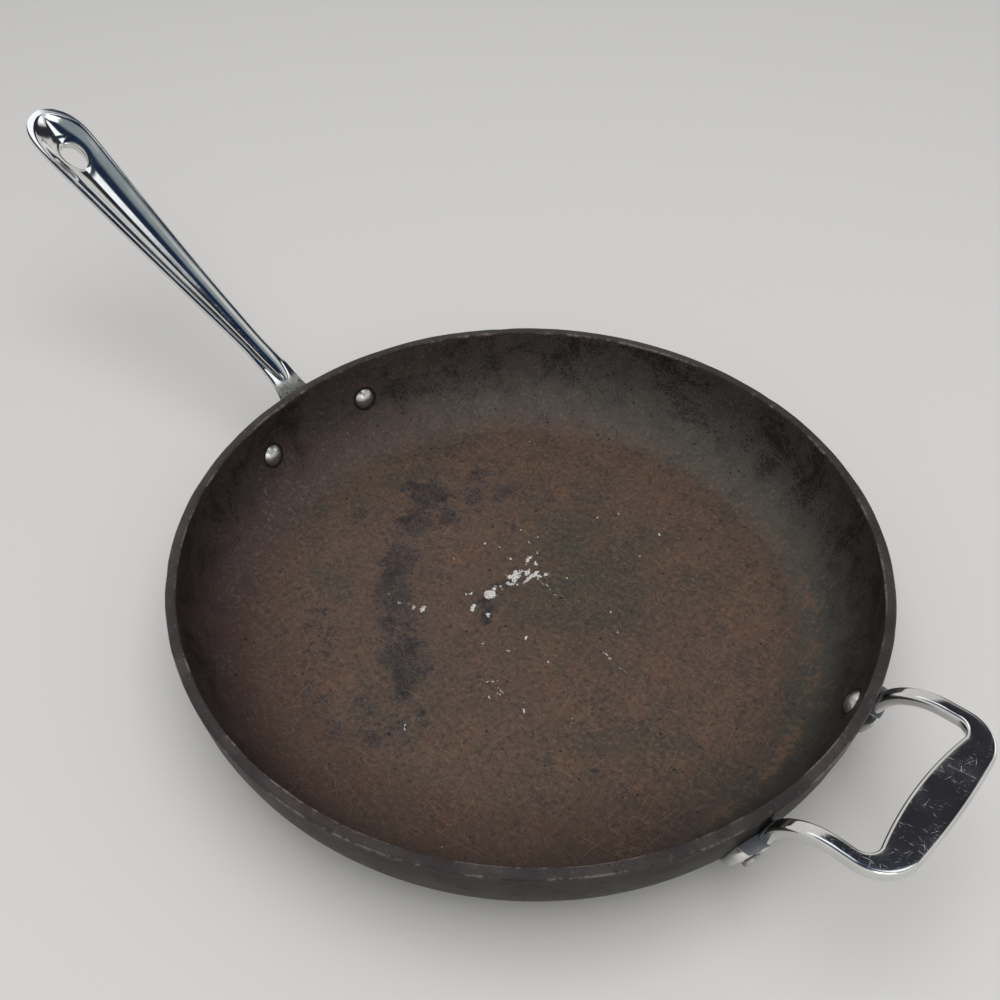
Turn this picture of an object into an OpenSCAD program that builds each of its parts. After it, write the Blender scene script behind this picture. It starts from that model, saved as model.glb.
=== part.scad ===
// Large frying pan with a long cast handle and a helper loop, both riveted on.
// Origin: centre of the flat underside. +Z is up, the long handle points along +X, the helper along -X.

/* [Pan] */
// Outside diameter of the rim
rim_d = 330; // [260:1:400]
// Height of the rim above the table
pan_h = 54; // [44:0.5:70]
// Diameter of the flat underside
base_d = 260; // [180:1:270]
// Thickness of the pan's floor
floor_t = 4.5; // [3:0.1:6]
// Thickness of the pan's wall
wall_t = 4.1; // [3:0.1:5]
// How far the rolled lip stands out past the wall
lip_out = 0.7; // [0.3:0.1:1.5]
// Height of the lip's outer face
lip_h = 2.6; // [1.5:0.1:4]
// Height of the straight part of the wall, measured down from the rim
straight_h = 4; // [3:0.1:8]

/* [Rivets] */
// Diameter of a rivet's domed head, inside the pan
head_d = 12; // [9:0.1:14]
// Height of the domed head
head_h = 3.2; // [2:0.1:4]
// Diameter of a rivet's shank
shank_d = 5.4; // [4:0.1:7]
// Diameter of the flattened tail, outside the pan
tail_d = 8; // [7.5:0.1:10]
// Height of the flattened tail
tail_h = 1.8; // [1:0.1:3]
// Clearance around the shank and the heads
rivet_gap = 0.05; // [0.02:0.01:0.2]
// Depth of the flat spots that the head and the tail are pressed into
spot_depth = 0.3; // [0.2:0.05:0.8]

/* [Long handle] */
// Distance between the two rivets of the long handle
handle_rivet_pitch = 64.6; // [50:0.2:76]
// Depth of these rivets' heads below the rim
handle_rivet_drop = 23; // [18:0.5:26]
// Reach of the long handle past the rim
handle_reach = 226; // [160:1:300]
// Angle at which the handle rises
handle_rise = 21.6; // [8:0.1:30]
// Sag of the handle's line between neck and tip
handle_sag = 2.2; // [0:0.1:5]
// Distance from the rim to the neck, where the rise begins
neck_reach = 25; // [20:0.5:40]
// Height of the neck's top above the rim
neck_lift = 0.6; // [0:0.1:6]
// Width of the neck at its narrowest
neck_w = 13.8; // [10:0.1:20]
// Width of the grip near its rounded end
grip_w = 35; // [26:0.1:44]
// Length over which the end is rounded off
tip_round = 41; // [25:1:60]
// Depth of the handle from its edges to its underside
grip_depth = 10.5; // [9.5:0.1:16]
// Depth of the scoop in the top of the grip
scoop_depth = 7.4; // [3:0.1:8]
// Width of the smooth edge beside the scoop, at the grip
edge_w = 3; // [2:0.1:5]
// Distance from the rim to the scoop's pointed end
scoop_start = 14; // [12:0.5:30]
// Bottom of the web between neck and flange, below the rim
web_bottom = 37; // [28:0.5:40]
// Extra half width of the neck where it flares into the flange
neck_flare = 8.1; // [3:0.1:12]
// Thickness of the flange on the wall
flange_t = 4; // [3:0.1:6]
// Width of the flange beyond each rivet
flange_margin = 11; // [8:0.5:14]
// Top of the flange, below the rim
flange_top = 13; // [9:0.5:14]
// Bottom of the flange, below the rim
flange_bottom = 40; // [34:0.5:42]
// Corner radius of the flange
flange_corner = 8; // [3:0.5:12]

/* [Hanging hole] */
// Length of the oval hole
hole_l = 22; // [16:0.5:30]
// Width of the oval hole
hole_w = 13; // [8:0.5:16]
// Distance from the handle's end to the hole's centre
hole_inset = 30.5; // [24:0.5:50]

/* [Helper handle] */
// Reach of the helper loop past the rim
helper_reach = 46.9; // [36:0.1:70]
// Width of the helper loop
helper_w = 87.6; // [80:0.2:110]
// Width of each arm of the loop
arm_w = 6.8; // [5:0.1:10]
// Width of the grip bar at its middle
bar_w = 17.7; // [12:0.1:24]
// Thickness of the loop
loop_t = 5.5; // [4:0.1:8]
// Height of the loop's bend above the rim
loop_lift = 10.8; // [6:0.1:20]
// Angle at which the loop rises outwards
loop_rise = 5.1; // [0:0.1:15]
// Radius of the bend where the arms turn down to the wall
bend_r = 30; // [22:0.5:32]
// Radius of the loop's outer corners
loop_corner = 17.8; // [10:0.1:22]
// Radius of the loop's inner corners
gap_corner = 5.5; // [3:0.1:10]
// Outward bow of the bar's outer edge
bar_bow_out = 1; // [0.5:0.1:3]
// Bow of the bar's inner edge, towards the pan
bar_bow_in = 3; // [1:0.1:5]
// Distance between the two rivets of the helper handle
helper_rivet_pitch = 87; // [80:0.2:110]
// Depth of these rivets' heads below the rim
helper_rivet_drop = 25.6; // [20:0.2:27]
// Thickness of the helper's pads on the wall
pad_t = 6; // [4:0.1:7]
// Width of a pad
pad_w = 21; // [18:0.5:30]
// Top of the pads, below the rim
pad_top = 13.5; // [8:0.5:14]
// Bottom of the pads, below the rim
pad_bottom = 34.5; // [32:0.5:42]
// How far the middle of a pad lies beyond its rivet, sideways
pad_shift = 0.5; // [0:0.5:3]
// Corner radius of the pads' outline
pad_corner = 8; // [3:0.5:9]

/* [Fit] */
// Gap between the wall and what is riveted to it
seat_gap = 0.05; // [0.02:0.01:0.3]

/* [Hidden] */
$fn = 96;

// radii of the pan
rim_r = rim_d / 2;
wall_r = rim_r - lip_out;
base_r = base_d / 2;
// the wall's curve is a quarter of an ellipse about this height
curve_z = pan_h - straight_h;
curve_steps = 16;
// long cutters reach this far
far = rim_d;

// Half-axes of the wall's quarter ellipse, grown outwards by g (inwards when g is negative)
function curve_a(g) = wall_r - base_r + g;
function curve_b(g) = curve_z + g;

// Points of the outer wall's quarter ellipse grown by g, from the underside up
function outer_curve(g) =
    [for (i = [0:curve_steps])
        let (q = 90 * i / curve_steps)
        [base_r + curve_a(g) * sin(q), curve_z - curve_b(g) * cos(q)]];

// Points of the inner wall, from the top of its curve down to the floor
function inner_curve() =
    [for (i = [0:curve_steps])
        let (q = 90 - 90 * i / curve_steps)
        [base_r + curve_a(-wall_t) * sin(q), curve_z - (curve_z - floor_t) * cos(q)]];

// Radius of the inner wall at height z
function inner_r_at(z) =
    base_r + curve_a(-wall_t) * sqrt(1 - pow((curve_z - z) / (curve_z - floor_t), 2));

// Downward tilt of the wall's normal at height z on the inner wall
function wall_tilt(z) =
    atan2((curve_z - z) / pow(curve_z - floor_t, 2), (inner_r_at(z) - base_r) / pow(curve_a(-wall_t), 2));

// Distance along a rivet's axis from the inner wall at height z to the outer wall grown by g
function through_wall(z, g) =
    let (
        tilt = wall_tilt(z),
        x0 = inner_r_at(z) - base_r,
        z0 = z - curve_z,
        a2 = pow(curve_a(g), 2),
        b2 = pow(curve_b(g), 2),
        qa = pow(cos(tilt), 2) / a2 + pow(sin(tilt), 2) / b2,
        qb = 2 * (x0 * cos(tilt) / a2 - z0 * sin(tilt) / b2),
        qc = x0 * x0 / a2 + z0 * z0 / b2 - 1
    )
    (-qb + sqrt(qb * qb - 4 * qa * qc)) / (2 * qa);

// Section through the pan's wall and floor
module pan_section() {
    polygon(concat(
        [[0, 0]],
        outer_curve(0),
        [[wall_r, pan_h - lip_h], [rim_r, pan_h - lip_h], [rim_r, pan_h], [wall_r - wall_t, pan_h]],
        inner_curve(),
        [[0, floor_t]]
    ));
}

// Everything inside the pan's outside surface, grown by the seat gap, used to cut what lies against it
module pan_envelope() {
    rotate_extrude()
        polygon(concat(
            [[0, -far], [base_r, -far]],
            outer_curve(seat_gap),
            [
                [wall_r + seat_gap, pan_h - lip_h - seat_gap],
                [rim_r + seat_gap, pan_h - lip_h - seat_gap],
                [rim_r + seat_gap, pan_h + seat_gap],
                [0, pan_h + seat_gap]
            ]
        ));
}

// Plate that follows the outer wall, t thick, before its outline is cut
module wall_plate(t) {
    rotate_extrude()
        difference() {
            polygon(concat([[0, -t]], outer_curve(t), [[0, curve_z]]));
            polygon(concat([[0, -t], [base_r, -t]], outer_curve(seat_gap), [[0, curve_z]]));
        }
}

// Outline of a plate, looking along +X: w wide, from top to bottom below the rim, with rounded corners
module plate_outline(w, top, bottom, corner) {
    rotate([90, 0, 90])
        linear_extrude(height = far) {
            translate([-w / 2, pan_h - bottom + corner])
                square([w, bottom - top - 2 * corner]);
            translate([-w / 2 + corner, pan_h - bottom])
                square([w - 2 * corner, bottom - top]);
            for (side = [-1, 1])
                for (level = [pan_h - bottom + corner, pan_h - top - corner])
                    translate([side * (w / 2 - corner), level])
                        circle(r = corner);
        }
}

// Places children on a rivet's axis: z = 0 is the inner wall, +z runs outwards through the wall.
// pitch is the distance between the pair, side is -1 or 1, drop is the head's depth below the rim.
module on_rivet_axis(pitch, side, drop) {
    seat_z = pan_h - drop;
    seat_r = inner_r_at(seat_z);
    rotate([0, 0, side * asin(pitch / 2 / seat_r)])
        translate([seat_r, 0, seat_z])
            rotate([0, 90 + wall_tilt(seat_z), 0])
                children();
}

// Hole and flat spots that a rivet needs; plate is the thickness of what it holds to the wall
module rivet_cut(drop, plate) {
    grip = through_wall(pan_h - drop, plate) - spot_depth;
    cut_l = head_d + grip;
    translate([0, 0, -head_d])
        cylinder(r = shank_d / 2 + rivet_gap, h = cut_l + head_d);
    translate([0, 0, spot_depth - head_d])
        cylinder(r = head_d / 2 + rivet_gap, h = head_d);
    translate([0, 0, grip])
        cylinder(r = tail_d / 2 + rivet_gap, h = head_d);
}

// A set rivet: domed head inside, shank through wall and plate, flattened tail outside
module rivet(drop, plate) {
    grip = through_wall(pan_h - drop, plate) - spot_depth;
    dome_r = (pow(head_d / 2, 2) + head_h * head_h) / (2 * head_h);
    tail_edge = tail_h / 3;
    intersection() {
        translate([0, 0, spot_depth - head_h + dome_r])
            sphere(r = dome_r);
        translate([0, 0, spot_depth - head_h])
            cylinder(r = head_d, h = head_h);
    }
    translate([0, 0, spot_depth])
        cylinder(r = shank_d / 2, h = grip - spot_depth);
    translate([0, 0, grip]) {
        cylinder(r = tail_d / 2, h = tail_h - tail_edge);
        translate([0, 0, tail_h - tail_edge])
            cylinder(r1 = tail_d / 2, r2 = tail_d / 2 - tail_edge, h = tail_edge);
    }
}

// ---- long handle: sections across x, each a ring of points ----

neck_x = rim_r + neck_reach;
tip_x = rim_r + handle_reach;
waist_x = neck_x + 15;
full_x = tip_x - 23;
scoop_x0 = rim_r + scoop_start;
scoop_x1 = tip_x - edge_w * 1.8;
// the sections start inside the wall and are cut back to it
root_x = rim_r - 12;
flare_x = neck_x - 2;
web_x = neck_x + 10;
neck_drop = 8.5;
neck_swell = 0.7;
edge_t = 1.8;
point_l = 28;
taper_power = 1.15;
end_power = 4;
ring_steps = 11;
root_steps = 12;
grip_steps = 22;
tip_steps = 14;

// How much of its width the handle keeps towards its rounded end, which is at x_end
function end_factor(x, x_end) =
    let (s = max(0, (x - (tip_x - tip_round)) / (x_end - (tip_x - tip_round))))
    sqrt(max(0, 1 - pow(min(1, s), end_power)));

// Half of the handle's width at x
function half_w(x) =
    (neck_w / 2
        + (grip_w - neck_w) / 2 * pow(max(0, (x - waist_x) / (full_x - waist_x)), taper_power)
        + neck_swell * min(1, max(0, (waist_x - x) / (waist_x - flare_x)))
        + neck_flare * pow(min(1.15, max(0, (flare_x - x) / (flare_x - rim_r))), 3)
    ) * end_factor(x, tip_x);

// Height of the handle's edges at x
function edge_z(x) =
    pan_h + neck_lift
        + tan(handle_rise) * (x - neck_x)
        - handle_sag * sin(180 * min(1, max(0, (x - neck_x) / (tip_x - neck_x))))
        - neck_drop * pow(max(0, (neck_x - x) / (neck_x - rim_r)), 2);

// Width of the smooth edge beside the scoop
function edge_at(x) = edge_w * (0.5 + 0.5 * half_w(x) / (grip_w / 2));

// Half width of the scoop, which closes in a rounded point at each end
function scoop_w(x) =
    x <= scoop_x0 || x >= scoop_x1 ? 0
    : max(0, half_w(x) - edge_at(x))
        * sqrt(1 - pow(1 - min(1, (x - scoop_x0) / point_l), 2))
        * end_factor(x, scoop_x1);

function scoop_d(x) = scoop_depth * pow(scoop_w(x) / (grip_w / 2 - edge_w), 0.8);

// Depth of the handle below its edges; near the wall it deepens into the web
function depth_at(x) =
    let (
        thin = grip_depth * pow(end_factor(x, tip_x), 0.8),
        web = edge_z(x) - (pan_h - web_bottom),
        s = pow(min(1, max(0, (web_x - x) / (web_x - rim_r))), 2.5)
    )
    thin + (web - thin) * s;

// Drop from the top of the edge to its widest line, at x
function side_drop(x) = edge_t * end_factor(x, tip_x);

// Height below the edge line of the top surface, y from the middle
function top_drop(x, y) =
    let (s = scoop_w(x), e = half_w(x) - s)
    y <= s && s > 0 ? scoop_d(x) * (1 - pow(y / s, 2))
    : side_drop(x) * (1 - pow(1 - pow(min(1, (y - s) / e), 2.5), 0.4));

// One ring of points across the handle at x, anticlockwise seen from the tip
function ring(x) =
    let (w = half_w(x), z = edge_z(x), d = side_drop(x), under = depth_at(x) - d)
    concat(
        [for (i = [0:2 * ring_steps - 1])
            let (y = w * cos(90 * i / ring_steps))
            [x, y, z - top_drop(x, abs(y))]],
        [for (i = [0:2 * ring_steps - 1])
            let (q = 90 * i / ring_steps)
            [x, -w * cos(q), z - d - under * pow(sin(q), 2)]]
    );

// Places of the sections along x, closer together at the root and at the rounded end
function section_xs() = concat(
    [for (i = [0:root_steps - 1]) root_x + (waist_x - root_x) * i / root_steps],
    [for (i = [0:grip_steps - 1]) waist_x + (full_x - waist_x) * i / grip_steps],
    [for (i = [0:tip_steps - 1]) full_x + (tip_x - full_x) * sin(90 * i / tip_steps)]
);

module handle_bar() {
    xs = section_xs();
    n = 4 * ring_steps;
    m = len(xs);
    points = concat([for (x = xs) each ring(x)], [[tip_x, 0, edge_z(tip_x)]]);
    sides = [for (j = [0:m - 2]) for (i = [0:n - 1])
        let (k = (i + 1) % n)
        each [
            [j * n + i, (j + 1) * n + k, j * n + k],
            [j * n + i, (j + 1) * n + i, (j + 1) * n + k]
        ]];
    tip = [for (i = [0:n - 1]) [(m - 1) * n + (i + 1) % n, (m - 1) * n + i, m * n]];
    root = [[for (i = [0:n - 1]) i]];
    polyhedron(points = points, faces = concat(sides, tip, root), convexity = 6);
}

// Oval hole through the grip, square to the handle's slope
module hanging_hole() {
    hole_x = tip_x - hole_inset;
    slot = hole_l - hole_w;
    translate([hole_x, 0, edge_z(hole_x)])
        rotate([0, -handle_rise, 0])
            translate([0, 0, -2 * grip_depth]) {
                for (side = [-1, 1])
                    translate([side * slot / 2, 0, 0])
                        cylinder(r = hole_w / 2, h = 3 * grip_depth);
                translate([-slot / 2, -hole_w / 2, 0])
                    cube([slot, hole_w, 3 * grip_depth]);
            }
}

// ---- helper handle, drawn with its loop along +X ----

bar_x = rim_r + helper_reach;
arm_y = helper_w / 2;
corner_y = arm_y - loop_corner;
corner_x = bar_x - bar_bow_out - loop_corner;
gap_y = arm_y - arm_w;
gap_x = bar_x - bar_w;
gap_corner_y = gap_y - gap_corner;
out_bow_r = (pow(corner_y, 2) + pow(bar_bow_out, 2)) / (2 * bar_bow_out);
in_bow_r = (pow(gap_corner_y, 2) + pow(bar_bow_in, 2)) / (2 * bar_bow_in);
gap_end_x = gap_x + bar_bow_in;
// centre of the bend of the arms, set so that they come down on the wall and sink into the pads
arm_sink = 1.3;
bend_x = sqrt(pow(wall_r, 2) - pow(arm_y - arm_w / 2, 2)) + bend_r - arm_sink;
bend_z = pan_h + loop_lift - bend_r;
bend_steps = 16;
corner_steps = 12;
bow_steps = 5;

// Points of an arc about c, from one angle to another
function arc(c, r, from, to, steps) =
    [for (i = [0:steps]) let (q = from + (to - from) * i / steps) [c[0] + r * cos(q), c[1] + r * sin(q)]];

// Side view of the loop: a quarter bend off the wall, then a straight blade
module loop_side() {
    blade_l = bar_x - bend_x + 2 * loop_t;
    blade_end = [bend_x + blade_l * cos(loop_rise), bend_z + blade_l * sin(loop_rise)];
    up = [-sin(loop_rise), cos(loop_rise)];
    rotate([90, 0, 0])
        linear_extrude(height = 2 * helper_w, center = true)
            polygon(concat(
                arc([bend_x, bend_z], bend_r, 180, 90 + loop_rise, bend_steps),
                [blade_end + up * bend_r, blade_end + up * (bend_r - loop_t)],
                arc([bend_x, bend_z], bend_r - loop_t, 90 + loop_rise, 180, bend_steps)
            ));
}

// One side of the loop's outer edge, from the arm round the corner to the bar's middle
function outer_half() = concat(
    [[0, arm_y]],
    arc([corner_x, corner_y], loop_corner, 90, 0, corner_steps),
    arc([bar_x - out_bow_r, 0], out_bow_r, asin(corner_y / out_bow_r) * 0.9, 0, bow_steps)
);

// One side of the gap's edge, from the arm round the corner to the bar's middle
function gap_half() = concat(
    [[0, gap_y]],
    arc([gap_end_x - gap_corner, gap_corner_y], gap_corner, 90, 0, corner_steps),
    arc([gap_x + in_bow_r, 0], in_bow_r, 180 - asin(gap_corner_y / in_bow_r) * 0.9, 180, bow_steps)
);

// A half outline closed by its mirror image
function both_halves(half) = concat(half, [for (i = [len(half) - 2:-1:0]) [half[i][0], -half[i][1]]]);

// Top view of the loop
module loop_top() {
    difference() {
        polygon(both_halves(outer_half()));
        polygon(both_halves(gap_half()));
    }
}

// ---- the pieces ----

// One pressed piece of thick hard-anodised aluminium
module pan_body() {
    color([0.16, 0.13, 0.12])
        difference() {
            rotate_extrude()
                pan_section();
            for (side = [-1, 1]) {
                on_rivet_axis(handle_rivet_pitch, side, handle_rivet_drop)
                    rivet_cut(handle_rivet_drop, flange_t);
                rotate([0, 0, 180])
                    on_rivet_axis(helper_rivet_pitch, side, helper_rivet_drop)
                        rivet_cut(helper_rivet_drop, pad_t);
            }
        }
}

// One cast piece: scooped grip, neck, web and flange
module long_handle() {
    color([0.75, 0.76, 0.78])
        difference() {
            union() {
                handle_bar();
                intersection() {
                    wall_plate(flange_t);
                    plate_outline(handle_rivet_pitch + 2 * flange_margin, flange_top, flange_bottom,
                        flange_corner);
                }
            }
            pan_envelope();
            hanging_hole();
            for (side = [-1, 1])
                on_rivet_axis(handle_rivet_pitch, side, handle_rivet_drop)
                    rivet_cut(handle_rivet_drop, flange_t);
        }
}

// One cast piece: flat loop, two bent arms, two pads
module helper_handle() {
    color([0.75, 0.76, 0.78])
        rotate([0, 0, 180])
            difference() {
                union() {
                    intersection() {
                        loop_side();
                        linear_extrude(height = far)
                            loop_top();
                    }
                    intersection() {
                        wall_plate(pad_t);
                        for (side = [-1, 1])
                            translate([0, side * (helper_rivet_pitch / 2 + pad_shift), 0])
                                plate_outline(pad_w, pad_top, pad_bottom, pad_corner);
                    }
                }
                pan_envelope();
                for (side = [-1, 1])
                    on_rivet_axis(helper_rivet_pitch, side, helper_rivet_drop)
                        rivet_cut(helper_rivet_drop, pad_t);
            }
}

// Rivet of the long handle; side is 1 for +Y
module handle_rivet(side) {
    color([0.6, 0.6, 0.61])
        on_rivet_axis(handle_rivet_pitch, side, handle_rivet_drop)
            rivet(handle_rivet_drop, flange_t);
}

// Rivet of the helper handle; side is 1 for +Y
module helper_rivet(side) {
    color([0.6, 0.6, 0.61])
        rotate([0, 0, 180])
            on_rivet_axis(helper_rivet_pitch, -side, helper_rivet_drop)
                rivet(helper_rivet_drop, pad_t);
}

pan_body();
long_handle();
helper_handle();
handle_rivet(1);  // handle_rivet_left
handle_rivet(-1);  // handle_rivet_right
helper_rivet(1);  // helper_rivet_left
helper_rivet(-1);  // helper_rivet_right
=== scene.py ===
"""A large burnt frying pan: anodised body, scooped long handle, helper loop and four domed rivets."""

import math

import bmesh
import bpy
import numpy as np
from mathutils import Matrix


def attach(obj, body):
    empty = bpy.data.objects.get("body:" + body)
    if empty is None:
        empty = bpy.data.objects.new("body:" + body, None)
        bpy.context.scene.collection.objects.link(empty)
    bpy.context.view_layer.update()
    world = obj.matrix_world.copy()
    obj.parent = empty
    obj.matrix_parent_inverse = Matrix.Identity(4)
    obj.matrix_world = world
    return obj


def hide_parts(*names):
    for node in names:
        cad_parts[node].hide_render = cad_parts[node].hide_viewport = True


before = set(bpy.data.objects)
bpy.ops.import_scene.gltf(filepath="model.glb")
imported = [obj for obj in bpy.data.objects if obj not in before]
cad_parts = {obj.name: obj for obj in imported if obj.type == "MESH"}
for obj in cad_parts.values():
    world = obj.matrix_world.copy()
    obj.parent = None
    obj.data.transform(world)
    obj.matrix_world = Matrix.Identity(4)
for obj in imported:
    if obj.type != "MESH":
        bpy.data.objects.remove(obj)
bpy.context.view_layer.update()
MM = 0.001


# ---- Camera and studio ----
# The pan is seen from above and beyond its helper side, over a plain pale floor.
# Two broad lamps give the soft light; polished steel mirrors pale walls, a dark ceiling and one window.

camera_place = (-0.2284, 0.2584, 0.4252)
camera_heading = math.radians(-46.30)
camera_pitch = math.radians(45.04)
camera_roll = math.radians(-0.19)
camera_lens = 39.37
floor_colour = (0.56, 0.55, 0.535, 1)
floor_reach = 6.0
wall_colour = (0.80, 0.78, 0.75, 1)
ceiling_colour = (0.033, 0.033, 0.040, 1)
navy_colour = (0.014, 0.028, 0.062, 1)
grey_colour = (0.29, 0.34, 0.36, 1)
window_colour = (1.5, 1.55, 1.6, 1)
ambient_colour = (0.52, 0.525, 0.535, 1)


def wire(kind, inputs=(), out=0, tree=None, **settings):
    """Adds one shader node, feeds its inputs (by name or number) with sockets or plain values, and
    returns one of its outputs. The node goes into the tree that its first socket comes from, unless a
    tree is given."""
    inputs = dict(inputs)
    if tree is None:
        tree = next(v for v in inputs.values() if isinstance(v, bpy.types.NodeSocket)).id_data
    node = tree.nodes.new("ShaderNode" + kind)
    for key, value in settings.items():
        setattr(node, key, value)
    for key, value in inputs.items():
        if isinstance(value, bpy.types.NodeSocket):
            tree.links.new(value, node.inputs[key])
        else:
            node.inputs[key].default_value = value
    return node.outputs[out]


def calc(operation, a, b=0.0, c=0.0, clamp=False):
    """One step of arithmetic on up to three values."""
    return wire("Math", {0: a, 1: b, 2: c}, operation=operation, use_clamp=clamp)


def times(a, b):
    """a times b."""
    return calc("MULTIPLY", a, b)


def times_plus(a, b, c):
    """a times b, plus c."""
    return calc("MULTIPLY_ADD", a, b, c)


def sway(value, amount, base):
    """base plus amount times how far a noise value lies above its middle, 0.5."""
    return times_plus(calc("SUBTRACT", value, 0.5), amount, base)


def larger(a, b):
    """The larger of a and b."""
    return calc("MAXIMUM", a, b)


def ramp(value, low, high):
    """0 below low, 1 above high, smooth between; low may be the larger one."""
    return wire("MapRange", {0: value, 1: low, 2: high}, interpolation_type="SMOOTHSTEP")


def blend(amount, below, above):
    """Colour that goes from below to above as amount goes from 0 to 1."""
    return wire("Mix", {0: amount, 6: below, 7: above}, out=2, data_type="RGBA")


def lay_out_studio():
    """Floor, lamps and the surroundings that reflect in the steel: pale walls, a dark ceiling that is
    navy overhead and grey on one side, two windows, a dark doorway and a glare beside it."""
    bpy.ops.mesh.primitive_circle_add(vertices=96, radius=floor_reach, fill_type="NGON")
    ground = bpy.context.object
    ground.name = "floor"
    paint = bpy.data.materials.new("floor")
    paint.use_nodes = True
    surface = paint.node_tree.nodes["Principled BSDF"].inputs
    surface["Base Color"].default_value = floor_colour
    surface["Roughness"].default_value = 0.8
    ground.data.materials.append(paint)

    for name, place, size, power in (
        ("lamp_over", (-0.2, 0.15, 1.9), 1.8, 26.0),
        ("lamp_side", (-1.3, 1.0, 1.5), 1.2, 8.0),
    ):
        lamp = bpy.data.lights.new(name, "AREA")
        lamp.size = size
        lamp.energy = power
        holder = bpy.data.objects.new(name, lamp)
        holder.location = place
        holder.rotation_euler = (-holder.location).to_track_quat("-Z", "Y").to_euler()
        holder.visible_glossy = name != "lamp_over"
        bpy.context.collection.objects.link(holder)

    world = bpy.data.worlds.new("studio")
    bpy.context.scene.world = world
    world.use_nodes = True
    tree = world.node_tree
    tree.nodes.clear()
    towards = wire("TexCoord", out="Generated", tree=tree)
    split = tree.nodes.new("ShaderNodeSeparateXYZ")
    tree.links.new(towards, split.inputs[0])
    side, ahead, height = split.outputs
    ceiling = blend(ramp(ahead, -0.52, -0.44), ceiling_colour, navy_colour)
    ceiling = blend(ramp(ahead, 0.38, 0.54), ceiling, grey_colour)
    room = blend(ramp(height, 0.62, 0.72), wall_colour, ceiling)
    # how far a direction points along the long handle's slope, which the scoop mirrors lengthwise
    along = times_plus(side, 0.93, times(height, 0.368))
    large = times(ramp(along, 0.566, 0.576), ramp(ahead, -0.42, -0.34))
    large = times(large, ramp(ahead, 0.10, 0.00))
    small = times(ramp(along, -0.30, -0.15), ramp(along, 0.42, 0.37))
    small = times(small, ramp(ahead, -0.46, -0.36))
    small = times(small, ramp(ahead, 0.06, -0.06))
    window = times(larger(large, small), ramp(height, 0.50, 0.60))
    doorway = times(ramp(ahead, -0.50, -0.62), ramp(along, 0.42, 0.34))
    room = blend(times(doorway, ramp(along, 0.02, 0.10)), room, ceiling_colour)
    glare = times(ramp(ahead, -0.76, -0.84), ramp(along, 0.02, -0.06))
    window = larger(window, times(glare, ramp(height, 0.0, 0.1)))
    room = blend(window, room, window_colour)
    path = tree.nodes.new("ShaderNodeLightPath").outputs
    mirrored = larger(path["Is Glossy Ray"], path["Is Transmission Ray"])
    colour = blend(mirrored, ambient_colour, room)
    colour = blend(path["Is Camera Ray"], colour, wall_colour)
    glow = wire("Background", {0: colour})
    end = tree.nodes.new("ShaderNodeOutputWorld")
    tree.links.new(glow, end.inputs["Surface"])


def place_camera():
    """Camera at the fixed place, turned by heading, pitch and roll."""
    flat = math.cos(camera_pitch)
    ahead = np.array([
        math.cos(camera_heading) * flat,
        math.sin(camera_heading) * flat,
        -math.sin(camera_pitch),
    ])
    right = np.array([math.sin(camera_heading), -math.cos(camera_heading), 0.0])
    up = np.cross(right, ahead)
    rolled_right = math.cos(camera_roll) * right + math.sin(camera_roll) * up
    rolled_up = math.cos(camera_roll) * up - math.sin(camera_roll) * right
    lens = bpy.data.cameras.new("camera")
    lens.lens = camera_lens
    lens.sensor_width = 36
    lens.clip_start = 0.01
    lens.clip_end = 50
    camera = bpy.data.objects.new("camera", lens)
    turn = Matrix(np.column_stack([rolled_right, rolled_up, -ahead]).tolist()).to_4x4()
    camera.matrix_world = Matrix.Translation(camera_place) @ turn
    bpy.context.collection.objects.link(camera)
    bpy.context.scene.camera = camera


bpy.context.scene.view_settings.view_transform = "Standard"
lay_out_studio()
place_camera()


# ---- Pan body ----
# One pressed piece of thick hard-anodised aluminium: a flat floor, a wall that curves up as a quarter
# ellipse, and a small rolled lip. The coating is scorched brown and charcoal, scratched, pitted and
# flaked through to bare metal in places.

# Sizes here and below are in millimetres.
rim_r = 165.0
pan_h = 54.0
base_r = 130.0
floor_t = 4.5
wall_t = 4.1
lip_out = 0.7
lip_h = 2.6
curve_z = pan_h - 4.0
wall_r = rim_r - lip_out
foot_round = 1.2
lip_round_in = 0.9
lip_round_out = 1.1
bead_round = 0.7
pole_r = 0.5
fine_r = 62.0
handle_pitch = 64.6
handle_drop = 23.0
helper_pitch = 87.0
helper_drop = 25.6
round_steps = 360

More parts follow.
